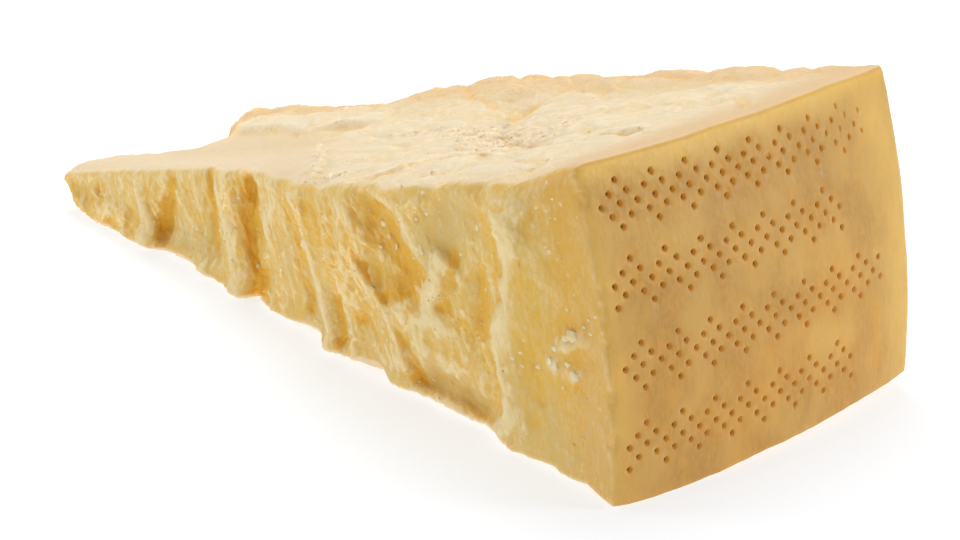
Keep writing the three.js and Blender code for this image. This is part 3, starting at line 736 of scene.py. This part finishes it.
def cheese_material(name, soak, grain_depth):
    """Light-cream grainy paste with painted orange-yellow shade in its crags and in the dips of its
    grain and painted highlights on its crests, a tan rind with painted light along its edges, a
    darker ring of drier paste behind the rind, and brown pits with painted shade at their bottoms.
    Light soaks in as far as the first depth, in metres, and the fine grain is as deep as the second."""
    material = bpy.data.materials.new(name)
    material.use_nodes = True
    tree = material.node_tree
    tree.nodes.clear()
    link = tree.links.new

    def node(kind, **settings):
        made = tree.nodes.new(kind)
        for key, value in settings.items():
            setattr(made, key, value)
        return made

    def put(socket, value):
        if isinstance(value, tuple):
            socket.default_value = (*value, 1) if socket.type == "RGBA" else value
        elif isinstance(value, (int, float)):
            socket.default_value = value
        else:
            link(value, socket)

    def read(name):
        return node("ShaderNodeAttribute", attribute_name=name).outputs["Fac"]

    def scaled(stretch):
        mapping = node("ShaderNodeMapping")
        put(mapping.inputs["Scale"], stretch)
        link(coordinates, mapping.inputs["Vector"])
        return mapping.outputs["Vector"]

    def noise_at(vector, scale, detail):
        texture = node("ShaderNodeTexNoise")
        put(texture.inputs["Scale"], scale)
        put(texture.inputs["Detail"], detail)
        link(vector, texture.inputs["Vector"])
        return texture.outputs

    def noise(scale, detail=3.0, stretch=(1.0, 1.0, 1.0)):
        return noise_at(scaled(stretch), scale, detail)["Fac"]

    def cells_at(vector, scale):
        texture = node("ShaderNodeTexVoronoi", feature="F1")
        put(texture.inputs["Scale"], scale)
        link(vector, texture.inputs["Vector"])
        return texture.outputs["Distance"]

    def ragged_cells(scale):
        shake = noise_at(coordinates, 900.0, 2.0)["Color"]
        moved = node("ShaderNodeVectorMath", operation="MULTIPLY_ADD")
        link(shake, moved.inputs[0])
        put(moved.inputs[1], (0.0012, 0.0012, 0.0012))
        link(coordinates, moved.inputs[2])
        return cells_at(moved.outputs["Vector"], scale)

    def remap(value, low, high, to_low=0.0, to_high=1.0):
        made = node("ShaderNodeMapRange", interpolation_type="SMOOTHSTEP")
        for socket, number in zip(("Value", "From Min", "From Max", "To Min", "To Max"),
                                  (value, low, high, to_low, to_high)):
            put(made.inputs[socket], number)
        return made.outputs["Result"]

    def maths(operation, a, b):
        made = node("ShaderNodeMath", operation=operation)
        put(made.inputs[0], a)
        put(made.inputs[1], b)
        return made.outputs["Value"]

    def over(part, under, colour):
        made = node("ShaderNodeMix", data_type="RGBA")
        put(made.inputs["Factor"], part)
        first, second = [n for n in made.inputs if n.type == "RGBA"]
        put(first, under)
        put(second, colour)
        return [n for n in made.outputs if n.type == "RGBA"][0]

    coordinates = node("ShaderNodeTexCoord").outputs["Object"]
    # The paste's amber and pale colours serve both as random tones and as painted shade and highlights, its
    # dull colour as painted shade; the torn paste's pale and amber are painted highlight and shade, the
    # bright rind colour is painted light and rubbed rings, and the pit's brown is painted shade
    cream = (0.78, 0.54, 0.15)
    pale_tone_and_highlight = (0.92, 0.77, 0.44)
    amber_tone_and_shade = (0.82, 0.48, 0.06)
    dull_shade_and_blotches = (0.68, 0.52, 0.22)
    white_fleck = (0.96, 0.87, 0.62)
    knife_cream = (0.87, 0.68, 0.42)
    torn_cream = (0.90, 0.74, 0.48)
    torn_yellow = (0.89, 0.68, 0.34)
    torn_pale_and_highlight = (0.95, 0.84, 0.62)
    torn_amber_shade = (0.88, 0.62, 0.21)
    powder_white = (0.68, 0.54, 0.37)
    ring_tan = (0.80, 0.41, 0.08)
    rind_tan = (0.51, 0.265, 0.052)
    rind_light = (0.615, 0.35, 0.082)
    rind_painted_light_and_rub = (0.87, 0.55, 0.125)
    rind_orange = (0.72, 0.34, 0.035)
    rind_side = (0.60, 0.34, 0.08)
    rind_dark_blotch = (0.55, 0.265, 0.065)
    pit_orange = (0.48, 0.205, 0.008)
    pit_bottom_shade = (0.16, 0.055, 0.004)

    upright = (1.0, 1.0, 0.55)
    clumps = noise(150, 4, upright)
    specks = cells_at(scaled(upright), 620)
    fine = noise(900, 4, upright)
    bare = maths("SUBTRACT", 1.0, read("skin"))
    flecks = maths("MAXIMUM", remap(ragged_cells(430), 0.17, 0.08), remap(ragged_cells(230), 0.15, 0.09))
    flecks = maths("MULTIPLY", maths("MULTIPLY", flecks, bare), remap(noise(75, 2), 0.46, 0.66, 0.1, 0.9))
    flecks = maths("MULTIPLY", flecks, maths("SUBTRACT", 1.0, maths("MULTIPLY", read("knifed"), 0.8)))

    grit_cells = cells_at(scaled(upright), 800)
    grit = maths("SUBTRACT", noise(420, 4, upright), maths("MULTIPLY", grit_cells, 0.4))

    # the broken paste: cream with random pale and amber tones, then painted shade and highlights
    paste = over(remap(clumps, 0.36, 0.68, 0, 0.4), cream, pale_tone_and_highlight)
    paste = over(remap(noise(52, 3), 0.42, 0.7, 0, 0.35), paste, amber_tone_and_shade)
    # painted shade in the dips of the fine grain and painted highlights on its tops, from the same height
    # as its bump
    paste = over(remap(grit, 0.36, 0.2, 0, 0.45), paste, amber_tone_and_shade)
    paste = over(remap(grit, 0.4, 0.56, 0, 0.4), paste, pale_tone_and_highlight)
    # painted dull grey shade under the undercuts and near the foot
    paste = over(maths("MULTIPLY", read("dull_shade_and_blotches"), 0.75), paste, dull_shade_and_blotches)
    # painted amber shade in the crags and painted highlights on the crests and the brow, mottled by noise
    mottled_shade_and_highlight = maths("ADD", read("amber_tone_and_shade"), remap(fine, 0.35, 0.65, -0.12, 0.12))
    paste = over(remap(mottled_shade_and_highlight, 0.1, 1.0), paste, amber_tone_and_shade)
    mottled_shade_and_highlight = maths("ADD", read("pale_tone_and_highlight"), remap(specks, 0.1, 0.6, 0.2, -0.2))
    paste = over(remap(mottled_shade_and_highlight, 0.1, 1.1, 0, 0.75), paste, pale_tone_and_highlight)
    # the cut paste: knife-cut, torn and powdery parts, with painted highlights on the crests of its lumps
    # (and the top crumbs' own paleness) and painted amber shadows in its hollows, cracks and under its
    # lumps
    torn = over(remap(noise(70, 4), 0.4, 0.7, 0, 0.5), torn_cream, torn_yellow)
    cut = over(read("knifed"), torn, knife_cream)
    cut = over(maths("MULTIPLY", read("powder"), 0.9), cut, powder_white)
    cut = over(maths("MULTIPLY", read("pale_tone_and_highlight"), 0.7), cut, torn_pale_and_highlight)
    cut = over(remap(maths("ADD", read("amber_tone_and_shade"), remap(fine, 0.35, 0.65, -0.08, 0.08)), 0.05, 1.0, 0, 0.85),
               cut, torn_amber_shade)
    paste = over(remap(read("upper"), 0.25, 0.75), paste, cut)
    # drier paste behind the rind
    paste = over(remap(read("under_rind"), 20.0, 5.0, 0, 0.4), paste, ring_tan)
    paste = over(maths("MULTIPLY", flecks, 0.7), paste, white_fleck)
    paste = over(read("crystal"), paste, white_fleck)
    # rind: random tan, light and orange mottling, orange patches, darker brownish blotches, and painted
    # light along its top band, its edges and its right side
    rind = over(remap(noise(110, 5, (1.0, 1.0, 0.7)), 0.36, 0.66), rind_tan, rind_light)
    rind = over(remap(noise(30, 3), 0.5, 0.72, 0, 0.35), rind, rind_orange)
    rind = over(remap(noise(260, 3, (1.0, 1.0, 0.7)), 0.5, 0.75, 0, 0.4), rind, rind_orange)
    rind = over(remap(noise(1300, 2, (1.0, 1.0, 0.5)), 0.38, 0.62, 0, 0.35), rind, rind_light)
    blotched = remap(noise(140, 4), 0.3, 0.7, -0.15, 0.15)
    rind = over(remap(maths("ADD", read("amber_tone_and_shade"), blotched), 0.15, 0.9, 0, 0.8), rind, rind_orange)
    rind = over(remap(maths("ADD", read("dull_shade_and_blotches"), blotched), 0.15, 0.9, 0, 0.55), rind, rind_dark_blotch)
    rind = over(maths("ADD", read("pale_tone_and_highlight"), maths("MULTIPLY", read("pale_tone_and_highlight"), blotched)), rind, rind_painted_light_and_rub)
    # the wheel's flat side, rubbed in circles round its axis
    circles = node("ShaderNodeCombineXYZ")
    put(circles.inputs["X"], read("from_axis"))
    put(circles.inputs["Y"], maths("MULTIPLY", read("round_axis"), 9.0))
    rubbed = noise_at(circles.outputs["Vector"], 1.1, 4.0)["Fac"]
    rubbed = maths("MULTIPLY", rubbed, read("flat_side"))
    rind = over(maths("MULTIPLY", read("flat_side"), 0.55), rind, rind_side)
    rind = over(remap(rubbed, 0.42, 0.7, 0, 0.2), rind, rind_painted_light_and_rub)
    surface = over(remap(read("skin"), 0.3, 0.8), paste, rind)
    surface = over(remap(read("pit"), 0.02, 0.45), surface, pit_orange)
    # painted shade at the bottoms of the pits
    surface = over(remap(read("pit"), 0.75, 1.0), surface, pit_bottom_shade)

    # fine grain: crumbs of half a millimetre and smaller, much shallower on knife cuts and rind
    rough = maths("MULTIPLY", maths("SUBTRACT", 1.0, maths("MULTIPLY", read("skin"), 0.7)),
                  maths("SUBTRACT", 1.0, maths("MULTIPLY", read("knifed"), 0.6)))
    rough = maths("ADD", rough, read("powder"))
    height = maths("ADD", grit, maths("MULTIPLY", noise(1700, 3), 0.3))
    height = maths("MULTIPLY", height, rough)
    height = maths("ADD", height, maths("MULTIPLY", rubbed, 0.35))
    bump = node("ShaderNodeBump")
    put(bump.inputs["Strength"], 1.0)
    put(bump.inputs["Distance"], grain_depth)
    put(bump.inputs["Height"], height)

    shader = node("ShaderNodeBsdfPrincipled", subsurface_method="BURLEY")
    link(surface, shader.inputs["Base Color"])
    link(bump.outputs["Normal"], shader.inputs["Normal"])
    link(remap(fine, 0.3, 0.7, 0.38, 0.56), shader.inputs["Roughness"])
    put(shader.inputs["IOR"], 1.44)
    put(shader.inputs["Specular IOR Level"], 0.42)
    put(shader.inputs["Subsurface Weight"], 0.75)
    put(shader.inputs["Subsurface Radius"], (1.0, 0.6, 0.22))
    put(shader.inputs["Subsurface Scale"], soak)
    output = node("ShaderNodeOutputMaterial")
    link(shader.outputs["BSDF"], output.inputs["Surface"])
    return material


PASTE_SOAK, PASTE_GRAIN = 0.0025, 0.0005   # metres
cheese.data.materials.append(cheese_material("aged cheese", PASTE_SOAK, PASTE_GRAIN))
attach(cheese, "root")
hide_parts("parmesan_chunk")

# ---------------------------------------------------------------------------------------------
# The crumbs. Bits of paste and hard white crystals that came loose as the wheel was split, and
# that still cling to the break and to the torn middle of the top. Each has twenty faces.

# Larger ones on the break: (x, z) on its plain surface, size across and up, and how white
PLACED_CRUMBS = [
    (-71.1, 41, 1.7, 1.3, 0.6), (-63.1, 45.2, 1.0, 0.8, 0.5), (-57.7, 46.4, 0.9, 0.9, 0.5),
    (-54.4, 48.5, 1.2, 0.8, 0.3), (-69.7, 38.4, 1.0, 1.0, 0.5), (-67.3, 36.8, 0.8, 1.6, 0.3),
    (-72.7, 35.3, 1.0, 0.7, 0.4), (-61, 52.2, 0.6, 1.8, 0.2), (-57.5, 39.3, 1.2, 2.4, 0.0),
    (-61.5, 36.1, 0.8, 0.8, 0.4), (-62.9, 48.2, 0.7, 0.8, 0.5), (-39.5, 49.7, 1.0, 1.4, 0.3),
    (-45.8, 41.7, 0.8, 0.8, 0.3), (-39.5, 35.3, 0.8, 0.7, 0.5), (-133.5, 9.7, 1.2, 1.2, 0.4),
    (-157.4, 11.2, 0.9, 0.9, 0.5), (-137.7, 25.3, 0.8, 0.8, 0.4), (-158.3, 18, 0.8, 0.8, 0.4),
    (-107, 24.2, 1.2, 1.0, 0.6), (-105.5, 25.7, 0.8, 1.0, 0.5), (-113.5, 21.3, 0.8, 0.8, 0.4),
    (-124.3, 22.4, 0.8, 0.8, 0.4), (-114.3, 33.1, 0.9, 1.1, 0.3), (-96.5, 25.6, 0.8, 0.8, 0.4),
    (-147.6, 14, 0.8, 0.8, 0.4), (-152, 2.2, 1.0, 0.8, 0.4), (-12.7, 33.3, 3.0, 2.6, 0.0),
    (-15, 31.8, 1.8, 1.6, 0.1), (-18.2, 29.2, 1.5, 1.2, 0.2), (-20.3, 25.9, 1.4, 1.5, 0.8),
    (-18.4, 25.4, 1.1, 2.4, 0.6), (-24.1, 22.9, 1.6, 1.1, 0.1), (-31.6, 22.7, 1.4, 1.0, 0.1),
    (-12.7, 24.7, 2.0, 1.7, 0.5), (-14.5, 26.4, 1.4, 1.1, 0.1), (-14.3, 38.7, 0.9, 0.8, 0.3),
    (-9, 36.4, 0.9, 0.8, 0.2), (-16.1, 20.7, 0.9, 0.8, 0.2), (-7.5, 38.4, 0.8, 0.8, 0.2),
]
BREAK_CRUMBS = 220
TOP_CRUMBS = 300
CRUMB_SIZES = (0.3, 0.9)         # from the smallest to the largest across
CRUMB_SINK = 0.52                # part of its size that a crumb is pressed into the paste

# An icosahedron: 12 corners and the 20 triangles of neighbouring corners that face outwards
GOLDEN = (1 + 5 ** 0.5) / 2
ICO_SIDE_LIMIT = 1.1             # longer than a side, which is 1.05, and shorter than a diagonal
ICO_CORNERS = np.array([turned for a in (-1, 1) for b in (-GOLDEN, GOLDEN)
                        for turned in ((0, a, b), (a, b, 0), (b, 0, a))]) / np.hypot(1, GOLDEN)
ICO_FACES = [(a, b, c) for a in range(12) for b in range(12) for c in range(12)
             if a < b and a < c and b != c
             and max(np.linalg.norm(ICO_CORNERS[m] - ICO_CORNERS[n])
                     for m, n in ((a, b), (b, c), (c, a))) < ICO_SIDE_LIMIT
             and np.linalg.det(ICO_CORNERS[[a, b, c]]) > 0]

polygon_count = len(finished.polygons)
spots = np.empty(3 * polygon_count)
finished.polygons.foreach_get("center", spots)
spots = spots.reshape(-1, 3) / MM - CHUNK_ORIGIN
facing = np.empty(3 * polygon_count)
finished.polygons.foreach_get("normal", facing)
facing = facing.reshape(-1, 3)
sizes = np.empty(polygon_count)
finished.polygons.foreach_get("area", sizes)

on_break = (facing[:, 1] < -0.35) & (spots[:, 0] < -4) & (spots[:, 1] < 60) & (spots[:, 2] > 1.5)
draw = np.random.default_rng(21)


def spread(weights, count):
    """Random spots on the cheese, each drawn with the given weight for its area."""
    share = weights * sizes
    return draw.choice(polygon_count, count, replace=False, p=share / share.sum())


def placed_spots():
    """For each larger crumb, the spot on the break that is nearest to the line from its place on
    the plain surface outwards along the crags' lean."""
    outwards = np.array([CRAG_LEAN[0], -1, CRAG_LEAN[1]]) / np.hypot(1, np.hypot(*CRAG_LEAN))
    found = []
    for px, pz, *_ in PLACED_CRUMBS:
        plain = blend(along(BREAK_FOOT, px), along(BREAK_BROW, px), pz / upper_cut_z(px))
        offset = spots - (px, plain, pz)
        beside = offset - (offset @ outwards)[:, None] * outwards
        found.append(np.argmin(np.linalg.norm(beside, axis=1) + 99 * ~on_break))
    return np.array(found)


clustered = ease(layered_waves(spots[:, 0] / 7, spots[:, 2] / 9, 151, 3), 0.0, 0.45)
calm_spots = patches(spots[:, 0], spots[:, 2], SMOOTH)
break_weights = on_break * (0.1 + clustered) * (1 - 0.85 * calm_spots)
top_powdery = patches(spots[:, 0], spots[:, 1], POWDERY)
top_clusters = ease(layered_waves(spots[:, 0] / 8, spots[:, 1] / 8, 153, 3), 0.1, 0.4)
top_weights = ((facing[:, 2] > 0.6) & (spots[:, 0] < -8)) * top_powdery ** 2 * (0.2 + top_clusters)
drawn = np.concatenate([placed_spots(), spread(break_weights, BREAK_CRUMBS),
                        spread(top_weights, TOP_CRUMBS)])

placed = len(PLACED_CRUMBS)
count = len(drawn)
across = blend(*CRUMB_SIZES, draw.random(count) ** 2.5)
stretch = across[:, None] * draw.uniform(0.65, 1.25, (count, 3))
stretch[:placed, 0] = [1.4 * row[2] for row in PLACED_CRUMBS]
stretch[:placed, 1] = [0.6 * min(row[2], row[3]) for row in PLACED_CRUMBS]
stretch[:placed, 2] = [1.2 * row[3] for row in PLACED_CRUMBS]
whiteness = draw.uniform(0.0, 0.3, count)
whiteness[:placed] = [0.25 + 0.6 * row[4] for row in PLACED_CRUMBS]

turns = np.linalg.qr(draw.normal(size=(count, 3, 3)))[0]
turns[:placed] = np.eye(3)
turns = turns * np.sign(np.linalg.det(turns))[:, None, None]
bits = ICO_CORNERS[None] * draw.uniform(0.8, 1.2, (count, 12, 1))
bits = np.einsum("nij,nkj->nki", turns, bits * stretch[:, None] / 2)
middle = spots[drawn] + facing[drawn] * (0.5 - CRUMB_SINK) * stretch.min(1)[:, None]
bits = (bits + middle[:, None] + CHUNK_ORIGIN) * MM
bit_faces = np.array(ICO_FACES)[None] + 12 * np.arange(count)[:, None, None]

crumb_mesh = bpy.data.meshes.new("crumbs")
crumb_mesh.from_pydata(bits.reshape(-1, 3).tolist(), [], bit_faces.reshape(-1, 3).tolist())
crumb_tints = {"pale_tone_and_highlight": draw.uniform(0.4, 1.0, count), "crystal": whiteness,
               "upper": np.arange(count) >= count - TOP_CRUMBS, "under_rind": np.full(count, 99.0)}
add_tints(crumb_mesh, {name: np.repeat(values, 12) for name, values in crumb_tints.items()})
CRUMB_SOAK, CRUMB_GRAIN = 0.00002, 0.0001  # metres
crumb_mesh.materials.append(cheese_material("cheese crumbs", CRUMB_SOAK, CRUMB_GRAIN))
crumbs = bpy.data.objects.new("crumbs", crumb_mesh)
bpy.context.collection.objects.link(crumbs)
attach(crumbs, "root")

# ---------------------------------------------------------------------------------------------
# The white table that the chunk lies on, and the soft light over it.

floor_mesh = bpy.data.meshes.new("white_table")
floor_mesh.from_pydata([(-6, -6, 0), (6, -6, 0), (6, 6, 0), (-6, 6, 0)], [], [(0, 1, 2, 3)])
floor = bpy.data.objects.new("white_table", floor_mesh)
bpy.context.collection.objects.link(floor)
floor_paint = bpy.data.materials.new("white table")
floor_paint.use_nodes = True
floor_shader = floor_paint.node_tree.nodes["Principled BSDF"]
floor_shader.inputs["Base Color"].default_value = (0.42, 0.44, 0.47, 1)
floor_shader.inputs["Roughness"].default_value = 0.9
floor_shader.inputs["Specular IOR Level"].default_value = 0.1
floor_shader.inputs["Emission Color"].default_value = (1, 1, 1, 1)
floor_shader.inputs["Emission Strength"].default_value = 0.66
floor.data.materials.append(floor_paint)

world = bpy.data.worlds.new("white room")
world.use_nodes = True
world.node_tree.nodes["Background"].inputs["Color"].default_value = (1, 1, 1, 1)
world.node_tree.nodes["Background"].inputs["Strength"].default_value = 0.4
bpy.context.scene.world = world
bpy.context.scene.view_settings.view_transform = "Standard"


def soft_light(name, place, aim, size, power):
    """A square lamp of the given size at place, turned to shine at aim."""
    data = bpy.data.lights.new(name, "AREA")
    data.shape = "SQUARE"
    data.size = size
    data.energy = power
    lamp = bpy.data.objects.new(name, data)
    lamp.location = place
    lamp.rotation_euler = (Vector(aim) - Vector(place)).to_track_quat("-Z", "Y").to_euler()
    bpy.context.collection.objects.link(lamp)


soft_light("overhead", (-0.35, 0.35, 1.0), (0, 0, 0.03), 0.7, 7.0)
soft_light("left window", (-1.1, -0.8, 0.7), (0, 0, 0.03), 0.5, 4.4)
soft_light("far right window", (1.2, 0.9, 0.5), (0, 0, 0.03), 0.5, 8.0)

# The camera: a long lens a little above the chunk, off the corner between break and rind
CAMERA_AZIMUTH, CAMERA_ELEVATION = np.radians(44.2), np.radians(20.5)
CAMERA_DISTANCE = 0.8338         # from the rind's near foot corner, along the view
CAMERA_ASIDE, CAMERA_ABOVE = -0.0264, 0.0469
foot_corner = Vector((CHUNK_ORIGIN + (0, 0, 1.0)) * MM)
back = Vector((np.sin(CAMERA_AZIMUTH) * np.cos(CAMERA_ELEVATION),
               -np.cos(CAMERA_AZIMUTH) * np.cos(CAMERA_ELEVATION), np.sin(CAMERA_ELEVATION)))
right = Vector((0, 0, 1)).cross(back).normalized()
up = back.cross(right)
camera_data = bpy.data.cameras.new("camera")
camera_data.sensor_width = 36
camera_data.lens = 157.5
camera = bpy.data.objects.new("camera", camera_data)
turn = Matrix((right, up, back)).transposed().to_4x4()
place = foot_corner + back * CAMERA_DISTANCE + right * CAMERA_ASIDE + up * CAMERA_ABOVE
camera.matrix_world = Matrix.Translation(place) @ turn
bpy.context.collection.objects.link(camera)
bpy.context.scene.camera = camera
